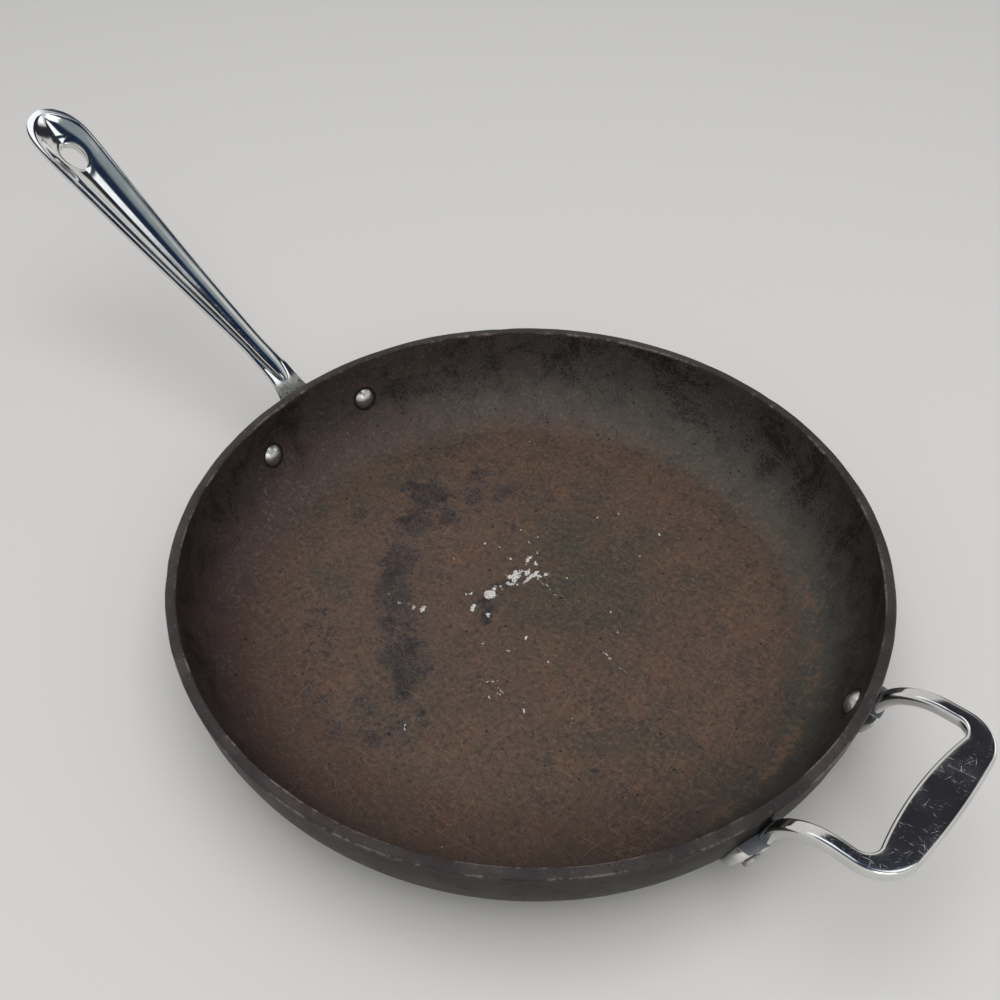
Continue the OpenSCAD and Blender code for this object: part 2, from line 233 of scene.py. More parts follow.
# Patches where the coating is gone: x, y, half length, half width (mm), turn (degrees)
bare_patches = (
    # the big cluster by the middle
    (19.6, 6.3, 3.7, 2.7, 80), (20.4, 2.2, 2.0, 0.9, 110), (19.9, 18.2, 2.2, 1.2, 130),
    (17.2, 17.8, 0.8, 0.6, 40), (11.0, 16.7, 1.7, 0.9, 0), (18.3, -11.3, 4.2, 2.2, 115),
    (20.0, -8.8, 1.7, 1.3, 45), (16.1, -17.2, 2.8, 1.4, 108), (12.4, -18.4, 4.0, 1.5, 88),
    (9.6, -19.9, 1.7, 1.1, 45), (7.9, -23.0, 2.2, 1.1, 70), (18.9, -15.8, 2.6, 0.9, 57),
    (21.4, -23.4, 3.1, 0.9, 122), (21.6, -25.7, 1.4, 0.8, 74), (16.9, -24.9, 1.6, 1.0, 157),
    (20.9, -30.4, 0.9, 0.6, 131), (12.6, -14.4, 4.2, 1.1, 92), (18.2, -5.3, 1.2, 1.0, 50),
    (16.0, -6.2, 1.4, 0.7, 58), (13.9, -8.1, 0.7, 0.6, 128), (18.8, -0.8, 1.3, 0.4, 156),
    (5.7, -16.8, 3.2, 0.4, 163), (1.0, -17.2, 3.0, 0.25, 163), (-3.4, -18.4, 3.0, 0.22, 165),
    # specks and short strokes round it
    (28.4, 14.3, 0.7, 0.6, 149), (27.1, 12.9, 1.0, 0.6, 42), (26.0, 11.4, 0.8, 0.5, 138),
    (48.5, 41.3, 1.0, 0.7, 35), (45.4, 38.6, 0.9, 0.4, 42), (40.6, 38.8, 1.6, 0.8, 138),
    (37.0, 36.1, 2.6, 1.4, 124), (56.0, 41.0, 1.2, 0.5, 0), (44.9, -16.4, 0.8, 0.7, 0),
    (38.2, -20.2, 0.8, 0.6, 0), (28.5, -18.5, 0.8, 0.6, 0), (38.1, -36.5, 0.9, 0.7, 130),
    (29.6, -33.4, 1.1, 0.6, 162), (28.6, -39.3, 0.8, 0.5, 131), (20.2, -36.0, 0.7, 0.5, 128),
    (49.8, 1.6, 1.8, 0.35, 158), (65.0, -7.4, 2.4, 0.3, 43), (-12.0, 14.5, 2.3, 0.8, 125),
    (-12.4, -16.0, 0.9, 0.4, 163), (-10.5, 25.8, 1.4, 0.8, 166), (0.2, 31.8, 1.2, 0.6, 134),
    (-29.5, 18.0, 0.7, 0.5, 129), (-24.1, 46.6, 1.8, 0.45, 178), (-24.2, 44.7, 1.8, 0.4, 178),
    (-17.3, 44.6, 3.9, 0.3, 62), (-23.1, 50.9, 0.9, 0.7, 42), (-45.4, -4.8, 4.1, 0.3, 175),
    (-49.1, -4.2, 1.6, 0.5, 163), (-59.2, -2.6, 4.0, 0.25, 173), (-39.8, 46.1, 3.3, 0.4, 127),
    (-36.8, 41.5, 1.9, 0.35, 43), (-59.3, 35.3, 3.3, 0.4, 122), (-6.3, 88.5, 2.8, 0.4, 129),
    (-42.1, -19.1, 1.1, 0.5, 128), (-31.2, -26.7, 1.0, 0.4, 129), (-1.4, -28.1, 0.9, 0.6, 47),
    (14.4, -71.5, 1.1, 0.7, 151), (8.7, -81.4, 0.8, 0.6, 125), (-16.2, -84.9, 0.9, 0.7, 122),
    (-18.9, -65.4, 0.8, 0.6, 122), (-49.0, -71.0, 0.9, 0.7, 0), (83.0, -92.0, 1.4, 0.6, 90),
    (34.0, 133.0, 1.6, 0.7, 60), (-60.0, 118.0, 1.8, 0.6, 60), (-50.0, 129.0, 1.4, 0.7, 20),
)
# Charcoal blotches: x, y, half length, half width (mm), turn (degrees), strength
char_blotches = (
    (94, -23, 17, 9, 59, 1.0), (84, -3, 16, 13, 142, 1.0), (78, -43, 12, 9, 101, 0.9),
    (63, -53, 17, 10, 133, 0.9), (46, -64, 8, 5, 44, 0.7), (57, 38, 27, 11, 138, 1.0),
    (67, -32, 9, 8, 41, 0.7), (74, -17, 11, 8, 138, 0.9), (21, 64, 17, 12, 140, 0.95),
    (22, -81, 11, 8, 49, 0.35), (9.4, 74, 7.5, 7, 0, 1.1), (-9, 79.6, 3.4, 1.8, 31, 1.3),
    (-63.5, 18.7, 4.4, 1.3, 67, 1.3), (15.8, 12.5, 6.5, 5, 42, 1.0), (14.7, 0, 8, 6, 102, 0.8),
    (38, 52, 20, 12, 120, 0.75), (72, 22, 16, 12, 120, 0.85), (104, 8, 20, 10, 90, 0.6),
    (0, 96, 26, 9, 0, 0.55), (60, 84, 24, 10, 140, 0.6), (112, -52, 22, 9, 66, 0.5),
    (0, -20, 16, 9, 20, 0.35), (-81, 46, 3, 2, 0, 1.2), (30, 108, 18, 7, 170, 0.5),
)
# Nicks in the lip: azimuth (degrees), width and depth (mm), 1 for its outer edge and 0 for its inner one
rim_nicks = (
    (131, 4.0, 0.5, 1), (128.5, 2.0, 0.35, 1), (112, 3.0, 0.3, 1), (95, 2.2, 0.35, 1), (160, 3.2, 0.4, 1),
    (8, 5.0, 0.35, 0), (14, 3.0, 0.3, 0), (27, 2.2, 0.3, 0), (187, 2.5, 0.4, 1), (205, 3.0, 0.35, 1),
    (236, 2.0, 0.3, 0), (262, 3.0, 0.3, 1), (289, 2.4, 0.3, 0), (318, 4.0, 0.35, 1), (342, 2.0, 0.3, 0),
    (68, 2.6, 0.3, 0), (51, 3.4, 0.35, 1), (146, 1.8, 0.4, 0), (172, 2.8, 0.3, 0),
)


def skin(name, rows, wrap=True, capped=True):
    """Mesh over a grid of points, rows x columns x 3, in millimetres. Neighbouring points are joined by
    quads, the last column to the first one when wrap is set, and each end row is closed by a fan round
    its own middle when capped is set."""
    count, width = rows.shape[:2]
    points = rows.reshape(-1, 3)
    index = np.arange(count * width).reshape(count, width)
    right = np.roll(index, -1, axis=1) if wrap else index[:, 1:]
    left = index if wrap else index[:, :-1]
    quads = np.stack([left[:-1], right[:-1], right[1:], left[1:]], axis=-1).reshape(-1, 4)
    fans = []
    if capped:
        for end, turned in ((0, True), (count - 1, False)):
            middle = np.full(left[end].shape, len(points))
            points = np.vstack([points, rows[end].mean(axis=0)])
            ring = (right[end], left[end]) if turned else (left[end], right[end])
            fans.append(np.stack([*ring, middle], axis=-1))
    faces = quads.tolist() + [face for fan in fans for face in fan.tolist()]
    mesh = bpy.data.meshes.new(name)
    mesh.from_pydata((points * MM).tolist(), [], faces)
    return mesh


def finish_piece(name, meshes, material, replaced):
    """Joins meshes into one piece, merges doubled points, turns faces outwards, shades it smooth and
    hands it to the frame in place of a CAD node."""
    shape = bmesh.new()
    for mesh in meshes:
        shape.from_mesh(mesh)
    bmesh.ops.remove_doubles(shape, verts=shape.verts, dist=1e-6)
    bmesh.ops.recalc_face_normals(shape, faces=shape.faces)
    joined = bpy.data.meshes.new(name)
    shape.to_mesh(joined)
    shape.free()
    joined.shade_smooth()
    joined.materials.append(material)
    piece = bpy.data.objects.new(name, joined)
    bpy.context.collection.objects.link(piece)
    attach(piece, "root")
    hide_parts(replaced)
    return piece


def outer_r(z, grow=0.0):
    """Radius of the outer wall's ellipse, grown outwards, at height z."""
    ease = (curve_z - np.clip(z, 0, curve_z)) / (curve_z + grow)
    return base_r + (wall_r - base_r + grow) * np.sqrt(np.clip(1 - ease**2, 0, 1))


def inner_r(z):
    """Radius of the inner wall's ellipse at height z."""
    ease = (curve_z - z) / (curve_z - floor_t)
    return base_r + (wall_r - wall_t - base_r) * np.sqrt(1 - ease**2)


def corner(cx, cz, radius, start, stop, steps):
    """Points of a small rounding about (cx, cz), from one angle to another, in degrees."""
    angle = np.radians(np.linspace(start, stop, steps))
    return np.stack([cx + radius * np.cos(angle), cz + radius * np.sin(angle)], axis=-1)


def pan_profile():
    """Section from the middle of the floor, up the inside, over the lip and down the outside to the
    middle of the underside, and how many of its points lie inside. The wall is a quarter ellipse inside
    and out; points lie closest where the marks are finest."""
    up = np.radians(np.linspace(0, 90, 40))[1:]
    inside_r = wall_r - wall_t
    inside = np.stack([
        base_r + (inside_r - base_r) * np.sin(up),
        curve_z - (curve_z - floor_t) * np.cos(up),
    ], axis=-1)
    down = np.radians(np.linspace(90, 3, 30))
    outside = np.stack([
        base_r + (wall_r - base_r) * np.sin(down),
        curve_z - curve_z * np.cos(down),
    ], axis=-1)
    floor = np.concatenate([np.linspace(pole_r, fine_r, 118), np.linspace(fine_r + 1, base_r, 50)])
    under = np.linspace(outside[-1, 0] - foot_round, pole_r, 14)
    inner = np.vstack([
        np.stack([floor, np.full_like(floor, floor_t)], axis=-1),
        inside,
        [[inside_r, curve_z + 1.4]],
        corner(inside_r + lip_round_in, pan_h - lip_round_in, lip_round_in, 180, 90, 5),
    ])
    outer = np.vstack([
        corner(rim_r - lip_round_out, pan_h - lip_round_out, lip_round_out, 90, 0, 6),
        corner(rim_r - bead_round, pan_h - lip_h + 0.5, bead_round, 0, -80, 4),
        outside,
        np.stack([under, np.zeros_like(under)], axis=-1),
    ])
    return np.vstack([inner, outer]), len(inner)


def waves(x, y, z, size, seed, count=24):
    """Smooth random field with values about -1 to 1: the sum of plane waves with random directions and
    phases and wavelengths about size (mm)."""
    pick = np.random.default_rng(seed)
    total = np.zeros_like(x)
    for _ in range(count):
        way = pick.normal(size=3)
        way *= 2 * math.pi / (np.linalg.norm(way) * size * pick.uniform(0.6, 1.8))
        total += np.cos(way[0] * x + way[1] * y + way[2] * z + pick.uniform(0, 2 * math.pi))
    return total / math.sqrt(count) * 0.9


def depth_inside(x, y, spots):
    """How far each point lies inside the nearest of the spots, in mm, below 0 outside. A spot is a
    turned ellipse: x, y, half length, half width, turn."""
    best = np.full(x.shape, -3.0)
    for cx, cy, long, short, turn in spots:
        c, s = math.cos(math.radians(turn)), math.sin(math.radians(turn))
        along = ((x - cx) * c + (y - cy) * s) / long
        across = ((y - cy) * c - (x - cx) * s) / short
        best = np.maximum(best, (1 - np.hypot(along, across)) * short)
    return best


def pan_mesh():
    """The profile carried round +Z. Shallow dents, a slightly wavy rim, nicks and the depth of the flaked
    patches move the points. Numbers per point tell how bare, charred or olive a place is, whether it is
    inside, and its share of the rim's radius."""
    profile, inner_rows = pan_profile()
    around = np.arange(round_steps) / round_steps * 2 * math.pi
    r = np.repeat(profile[:, :1], round_steps, axis=1)
    z = np.repeat(profile[:, 1:], round_steps, axis=1)
    inside = np.repeat(np.arange(len(profile))[:, None] < inner_rows, round_steps, axis=1)
    x, y = r * np.cos(around), r * np.sin(around)
    on_floor = inside & (r < base_r + 6)

    wobble = waves(x, y, z, 9, 21) * 0.5 + waves(x, y, z, 3.5, 22) * 0.28
    bare = np.where(on_floor, depth_inside(x + wobble * 0.5, y - wobble * 0.5, bare_patches), -3)
    warp = waves(x, y, z, 22, 23) * 5 + waves(x, y, z, 9, 24) * 2.5
    char = np.zeros_like(x)
    for cx, cy, long, short, turn, strength in char_blotches:
        near = depth_inside(x + warp, y - warp * 0.7, ((cx, cy, long, short, turn),)) / short
        char = np.maximum(char, strength * np.clip(near * 1.3 + 0.35, 0, 1))
    char = np.where(inside, char, 0)
    olive = np.clip(1.2 - np.hypot(x + 4 + warp, (y + 30) * 0.8 - warp) / 42, 0, 1)

    high = np.clip((z - 15) / 35, 0, 1)
    level = waves(x, y, z, 45, 31) * 0.10 + waves(x, y, z, 14, 32) * 0.035 + waves(x, y, z, 5, 33) * 0.015
    dent = np.minimum(waves(x, y, z, 26, 34) + 0.9, 0) * 0.35 * high
    worn = np.clip(bare + 0.3, 0, 0.6) * 0.22
    z = z + np.where(on_floor, level * np.clip((base_r + 6 - r) / 12, 0, 1) - worn, 0)
    r = r + np.where(z > 3, (level * 1.3 + dent) * high, 0)
    top = np.clip((z - (pan_h - 3)) / 2, 0, 1)
    z = z + top * (waves(x, y, 0 * z, 60, 35) * 0.12 - 0.12)
    for azimuth, width, depth, out in rim_nicks:
        apart = np.abs((around - math.radians(azimuth) + math.pi) % (2 * math.pi) - math.pi) * rim_r
        edge_r = rim_r if out else wall_r - wall_t
        hit = np.exp(-((apart / width) ** 2)) * np.clip(1 - np.hypot(r - edge_r, z - pan_h) / 1.8, 0, 1)
        z = z - depth * hit
        r = r + depth * 0.6 * hit * (-1 if out else 1)
    r = np.minimum(r, rim_r + 0.3)
    points = np.stack([r * np.cos(around), r * np.sin(around), z], axis=-1)
    values = {
        "bare": bare, "char": char, "inside": inside.astype(float), "reach": r / rim_r, "olive": olive,
    }
    return skin("pan_body", points), values


def write_values(mesh, values):
    """Stores numbers per point, row by row; each of the two pole points gets its end row's mean."""
    for name, value in values.items():
        flat = np.concatenate([value.ravel(), [value[0].mean(), value[-1].mean()]])
        layer = mesh.attributes.new(name, "FLOAT", "POINT")
        layer.data.foreach_set("value", flat.astype(np.float32))


def start_material(name):
    """A material with its tree, its surface shader and the object coordinates."""
    material = bpy.data.materials.new(name)
    material.use_nodes = True
    tree = material.node_tree
    shader = tree.nodes["Principled BSDF"]
    return material, tree, shader, wire("TexCoord", out="Object", tree=tree)


def stored(tree, *names):
    """The numbers that a piece's mesh stores per point, by name."""
    return [wire("Attribute", out="Fac", tree=tree, attribute_name=name) for name in names]


def noise(place, scale, detail=3.0, rough=0.55, warp=0.0):
    """Cloudy noise, scale in cells per metre."""
    return wire("TexNoise", {
        "Vector": place, "Scale": scale, "Detail": detail, "Roughness": rough, "Distortion": warp,
    })


def strokes(place, turn, spread, low, high):
    """Fine straight scratches in one direction: noise drawn out along it, where it is strongest. Turn
    is in degrees about +Z, spread in cells per metre along and across."""
    drawn = wire("Mapping", {
        0: place, 2: (0, 0, math.radians(turn)), 3: (1 / spread[0], 1 / spread[1], 1 / spread[0]),
    }, vector_type="TEXTURE")
    return ramp(noise(drawn, 1.0, 1.0, 0.4), low, high)


def scratches(place, low, ways):
    """Strokes in several directions together. Ways gives each one's turn and spread; low is how strong
    the first one's noise has to be to show, and the others need a little more."""
    first, *rest = ways
    marks = strokes(place, *first, low, low + 0.12)
    for way in rest:
        marks = larger(marks, strokes(place, *way, low + 0.01, low + 0.13))
    return marks


def bent(place, amount):
    """Coordinates shifted by soft noise that varies by about a quarter of the amount (metres) either
    way, so that the scratches drawn in them curve."""
    push = wire("TexNoise", {"Vector": place, "Scale": 130.0, "Detail": 1.0}, out=1)
    push = wire("VectorMath", {0: push, 3: amount}, operation="SCALE")
    return wire("VectorMath", {0: place, 1: push}, operation="ADD")


def rivet_seats():
    """Where the axes of the four rivets meet the inner wall, in metres."""
    seats = []
    for pitch, drop, way in ((handle_pitch, handle_drop, 1), (helper_pitch, helper_drop, -1)):
        z = pan_h - drop
        r = float(inner_r(z))
        x = way * math.sqrt(r**2 - (pitch / 2) ** 2)
        seats += [(x * MM, pitch / 2 * MM, z * MM), (x * MM, -pitch / 2 * MM, z * MM)]
    return seats


def facing(azimuth, angle):
    """1 on the side at that angle about +Z (radians), -1 across from it, a cosine between."""
    return calc("COSINE", calc("SUBTRACT", azimuth, angle))


def burnt_coating():
    """Scorched anodised coating: browns and charcoal mixed by cloudy noise, speckles and pits, fine
    scratches in many directions, and bare metal where the coating has flaked off."""
    material, tree, shader, place = start_material("burnt_coating")
    bare, char, inside, reach, olive = stored(tree, "bare", "char", "inside", "reach", "olive")
    split = tree.nodes.new("ShaderNodeSeparateXYZ")
    tree.links.new(place, split.inputs[0])
    height = split.outputs[2]
    azimuth = calc("ARCTAN2", split.outputs[1], split.outputs[0])
    broad = noise(place, 13, 4, 0.62, 0.8)
    cloudy = noise(place, 34, 5, 0.68, 0.5)
    medium = noise(place, 95, 6, 0.72)
    fine = noise(place, 420, 5, 0.75)
    flecks = noise(place, 300, 2, 0.55, 0.6)
    grit = noise(place, 1300, 2, 0.6)
    grained = times_plus(grit, 0.6, times(fine, 0.4))

    # floor: red-brown, brown and olive-brown, mottled at three sizes
    brown = blend(ramp(broad, 0.36, 0.64), (0.081, 0.052, 0.038, 1), (0.058, 0.045, 0.033, 1))
    brown = blend(ramp(cloudy, 0.40, 0.70), brown, (0.086, 0.050, 0.034, 1))
    brown = blend(times(ramp(medium, 0.50, 0.34), 0.7), brown, (0.042, 0.033, 0.028, 1))
    brown = blend(times(olive, 0.75), brown, (0.040, 0.037, 0.027, 1))
    brown = blend(times(ramp(flecks, 0.44, 0.30), 0.5), brown, (0.036, 0.029, 0.027, 1))
    brown = blend(times(ramp(fine, 0.50, 0.72), 0.7), brown, (0.126, 0.083, 0.059, 1))
    brown = blend(times(ramp(fine, 0.46, 0.29), 0.9), brown, (0.024, 0.019, 0.018, 1))

    # wall: dark, redder by the long handle and greener across from it, and specked; painted light makes one
    # side of it lighter and painted shade darkens it under the lip
    by_handle = times_plus(facing(azimuth, 0.75), 0.5, 0.5)
    sooty = sway(medium, 0.9, times(cloudy, 0.6))
    wall_tone = blend(by_handle, (0.044, 0.042, 0.036, 1), (0.032, 0.020, 0.018, 1))
    wall_tone = blend(times(ramp(sooty, 0.36, 0.14), 0.45), wall_tone, (0.016, 0.016, 0.016, 1))
    wall_tone = blend(times(ramp(fine, 0.52, 0.74), 0.6), wall_tone, (0.100, 0.088, 0.074, 1))
    # painted light: the wall is lightened on one side and darkened on the other, and painted shade darkens
    # it just under the lip
    painted_light = times_plus(facing(azimuth, -0.65), 0.72, 1.28)
    painted_light = times(painted_light, times_plus(ramp(reach, 0.90, 0.97), -0.30, 1.0))
    wall_tone = wire("VectorMath", {0: wall_tone, 3: painted_light}, operation="SCALE")
    specks = times_plus(grit, 0.40, times(fine, 0.35))
    specks = ramp(times_plus(cloudy, 0.55, specks), 0.662, 0.690)
    specks = times(specks, times_plus(ramp(reach, 0.86, 0.95), 0.60, 0.26))
    wall_tone = blend(specks, wall_tone, (0.006, 0.006, 0.007, 1))
    rusty = times(ramp(cloudy, 0.52, 0.66), ramp(fine, 0.42, 0.62))
    ring = times(ramp(reach, 0.81, 0.83), ramp(reach, 0.87, 0.85))
    far_side = ramp(facing(azimuth, -2.75), 0.70, 0.95)
    streak = times(times(ring, far_side), ramp(times_plus(fine, 0.6, medium), 0.76, 0.92))

    # the floor's brown climbs the wall, furthest on the right; at the foot on the left it darkens to a deep
    # red, partly a ruddy stain and partly painted shade
    climbing = sway(cloudy, 0.16, reach)
    climbing = sway(by_handle, -0.03, climbing)
    far_wall = ramp(facing(azimuth, -1.20), 0.0, 0.7)
    climbing = times_plus(far_wall, -0.045, climbing)
    tone = blend(ramp(climbing, 0.68, 0.90), brown, wall_tone)
    # partly painted shade: the floor by the wall's foot on the left is darkened towards a deep red
    ruddy_shade = ramp(facing(azimuth, 1.85), 0.15, 0.80)
    ruddy_shade = times(ruddy_shade, ramp(reach, 0.60, 0.73))
    ruddy_shade = times(ruddy_shade, ramp(reach, 0.91, 0.84))
    tone = blend(times(ruddy_shade, 0.36), tone, (0.038, 0.016, 0.010, 1))
    rusty = times(rusty, ramp(reach, 0.93, 0.86))
    tone = blend(times(rusty, 0.35), tone, (0.115, 0.060, 0.036, 1))
    tone = blend(times(streak, 0.6), tone, (0.110, 0.060, 0.033, 1))

    # charcoal blotches that break up into blue-grey mottling and black specks
    ragged = sway(medium, 2.2, char)
    ragged = sway(flecks, 3.4, ragged)
    charred = times(ramp(ragged, 0.46, 0.80), ramp(char, 0.0, 0.25))
    ashen = blend(ramp(fine, 0.46, 0.55), (0.020, 0.019, 0.023, 1), (0.058, 0.052, 0.055, 1))
    tone = blend(times(charred, 0.60), tone, ashen)
    soot = times_plus(char, 0.11, times_plus(medium, 0.30, times(grained, 0.70)))
    tone = blend(times(ramp(soot, 0.595, 0.635), 0.85), tone, (0.011, 0.010, 0.011, 1))
    grainy = sway(grained, 2.0, 1.0)
    tone = wire("VectorMath", {0: tone, 3: grainy}, operation="SCALE")

    # outside: greenish grey with black specks
    shell = blend(ramp(cloudy, 0.35, 0.7), (0.010, 0.009, 0.0075, 1), (0.019, 0.016, 0.013, 1))
    shell = blend(times(ramp(fine, 0.50, 0.72), 0.6), shell, (0.046, 0.038, 0.031, 1))
    shell = blend(ramp(medium, 0.56, 0.63), shell, (0.008, 0.008, 0.007, 1))
    tone = blend(inside, shell, tone)

    # a dark ring round the foot of each rivet's head
    nearest = 1.0
    for seat in rivet_seats():
        apart = wire("VectorMath", {0: place, 1: seat}, out=1, operation="DISTANCE")
        nearest = calc("MINIMUM", apart, nearest)
    nearest = times_plus(fine, 0.0016, nearest)
    rivet_ring = times(ramp(nearest, 0.0082, 0.0072), inside)
    tone = blend(rivet_ring, tone, (0.006, 0.005, 0.005, 1))

    # lip: purple-brown grey, rubbed pale in dashes along its edges
    lip = ramp(height, 0.0520, 0.0533)
    rubbed = larger(ramp(reach, 0.9765, 0.9735), ramp(reach, 0.9965, 0.9985))
    rubbed = times(rubbed, ramp(times_plus(fine, 0.5, cloudy), 0.74, 0.86))
    lip_tone = blend(ramp(cloudy, 0.35, 0.68), (0.024, 0.019, 0.019, 1), (0.043, 0.035, 0.035, 1))
    lip_tone = blend(ramp(fine, 0.56, 0.72), lip_tone, (0.078, 0.065, 0.060, 1))
    lip_tone = blend(ramp(medium, 0.40, 0.30), lip_tone, (0.014, 0.012, 0.012, 1))
    lip_tone = blend(times(rubbed, 0.55), lip_tone, (0.20, 0.165, 0.145, 1))
    tone = blend(lip, tone, lip_tone)

    # scratches: pale ones and dark ones, each in several directions
    here = times(inside, calc("SUBTRACT", 1.0, lip))
    curved = bent(place, 0.0012)
    pale = scratches(curved, 0.64, (
        (12, (30, 1700)), (57, (40, 2100)), (103, (34, 1800)), (148, (46, 2400)), (81, (26, 1500)),
        (170, (55, 2600)),
    ))
    pale = times(times(pale, ramp(cloudy, 0.34, 0.62)), here)
    pale = times(pale, times_plus(ramp(reach, 0.78, 0.86), -0.75, 1.0))
    tone = blend(times(pale, 0.36), tone, (0.185, 0.130, 0.096, 1))
    dark = scratches(curved, 0.66, (
        (33, (36, 1700)), (124, (40, 1500)), (160, (30, 2000)), (72, (44, 1900)),
    ))
    dark = times(dark, here)
    tone = blend(times(dark, 0.38), tone, (0.020, 0.017, 0.016, 1))

    # pits: sparse dark dots of different sizes
    cells = tree.nodes.new("ShaderNodeTexVoronoi")
    cells.inputs["Scale"].default_value = 260
    tree.links.new(place, cells.inputs["Vector"])
    luck = wire("SeparateColor", {0: cells.outputs["Color"]})
    pit = times_plus(calc("SUBTRACT", luck, 0.72), 0.75, times(cells.outputs["Distance"], -1.0))
    pit = sway(grit, 0.25, pit)
    pits = times(ramp(pit, -0.02, 0.05), here)
    tone = blend(times(pits, 0.8), tone, (0.010, 0.009, 0.009, 1))

    # bare metal: ragged flaked patches, and single bright grains
    edge = sway(fine, 2.4, bare)
    edge = sway(grit, 2.6, edge)
    metal = times(ramp(edge, 0.16, 0.30), ramp(bare, -0.90, -0.60))
    grain = times(ramp(times_plus(grit, 0.5, fine), 1.03, 1.07), here)
    metal = larger(metal, times(grain, ramp(reach, 0.85, 0.5)))
    silver = blend(ramp(grit, 0.32, 0.62), (0.34, 0.32, 0.30, 1), (0.66, 0.64, 0.61, 1))
    tone = blend(metal, tone, silver)
    tree.links.new(tone, shader.inputs["Base Color"])
    tree.links.new(times(metal, 0.35), shader.inputs["Metallic"])
    shader.inputs["Specular IOR Level"].default_value = 0.20

    gloss = times_plus(medium, 0.30, 0.33)
    gloss = times_plus(charred, 0.12, gloss)
    tree.links.new(gloss, shader.inputs["Roughness"])
    relief = times_plus(fine, 0.8, times(grit, 0.35))
    relief = times_plus(medium, 0.8, relief)
    relief = times_plus(pits, -0.9, relief)
    relief = times_plus(metal, -0.7, relief)
    bump = wire("Bump", {"Height": relief, "Distance": 0.00022, "Strength": 0.9})
    tree.links.new(bump, shader.inputs["Normal"])
    return material


body_mesh, body_values = pan_mesh()
write_values(body_mesh, body_values)
finish_piece("burnt_pan_body", [body_mesh], burnt_coating(), "pan_body")


# ---- Long handle ----
# One cast bar of polished stainless steel: a grip scooped along its top with an oval hanging hole, a
# slim neck with a dull, scorched web below it, and a curved flange riveted to the pan's wall.

handle_reach = 226.0
neck_reach = 25.0
slope = math.radians(21.6)
handle_sag = 2.2
neck_lift = 0.6
neck_drop = 8.5
neck_w = 13.8
neck_flare = 8.1
neck_swell = 0.7
grip_w = 35.0
grip_depth = 10.5
tip_round = 41.0
edge_w = 3.0
edge_t = 1.8
scoop_depth = 7.4
point_l = 28.0
web_bottom = 37.0
hole_half_l = 10.3
hole_r = 5.8
hole_inset = 28.0
hole_rounding = 0.9
hole_power = 2.2
hole_swell = 0.35
flange_half_w = 43.3
flange_t = 4.0
flange_low = 14.0
flange_high = 41.0
flange_corner = 8.0
seat_gap = 0.05

neck_x = rim_r + neck_reach
tip_x = rim_r + handle_reach
waist_x = neck_x + 15
full_x = tip_x - 23
scoop_x0 = rim_r + 14
scoop_x1 = tip_x - edge_w * 1.15
hole_x = tip_x - hole_inset


def end_factor(x, x_end):
    """How much of its width the grip keeps towards a rounded end: a superellipse of power four."""
    s = np.clip((x - (tip_x - tip_round)) / (x_end - (tip_x - tip_round)), 0, 1)
    return np.sqrt(1 - s**4)


def half_width(x):
    """Half of the handle's width at x: slim neck, straight taper to the grip, flare at the wall."""
    taper = np.clip((x - waist_x) / (full_x - waist_x), 0, None) ** 1.15
    swell = np.clip((waist_x - x) / (waist_x - neck_x + 2), 0, 1)
    flare = np.clip((neck_x - 2 - x) / (neck_x - 2 - rim_r), 0, 1.15) ** 3
    width = neck_w / 2 + (grip_w - neck_w) / 2 * taper + neck_swell * swell + neck_flare * flare
    return width * end_factor(x, tip_x)


def edge_height(x):
    """Height of the handle's edges: a rising line with a slight sag, dropping towards the wall."""
    sag = handle_sag * np.sin(math.pi * np.clip((x - neck_x) / (tip_x - neck_x), 0, 1))
    drop = neck_drop * (np.clip(neck_x - x, 0, None) / neck_reach) ** 2
    return pan_h + neck_lift + math.tan(slope) * (x - neck_x) - sag - drop


def scoop_half_width(x):
    """Half width of the scoop, which closes in a rounded point at both ends."""
    edge = edge_w * (0.5 + half_width(x) / grip_w)
    point = np.sqrt(1 - (1 - np.clip((x - scoop_x0) / point_l, 0, 1)) ** 2)
    open_w = np.clip(half_width(x) - edge, 0, None) * point * end_factor(x, scoop_x1)
    return np.where((x > scoop_x0) & (x < scoop_x1), open_w, 0)


def depth_below(x):
    """Depth of the handle below its edges; it deepens into the web near the wall."""
    thin = grip_depth * end_factor(x, tip_x) ** 0.8
    web = edge_height(x) - (pan_h - web_bottom)
    return thin + (web - thin) * np.clip((neck_x + 10 - x) / (neck_reach + 10), 0, 1) ** 2.5


def soften(rows, rounds, axis):
    """Rounds a grid's creases: each inner point moves towards its neighbours by a 1-2-1 average."""
    rows = np.moveaxis(rows, axis, 0).copy()
    for _ in range(rounds):
        rows[1:-1] = (rows[:-2] + 2 * rows[1:-1] + rows[2:]) / 4
    return np.moveaxis(rows, 0, axis)


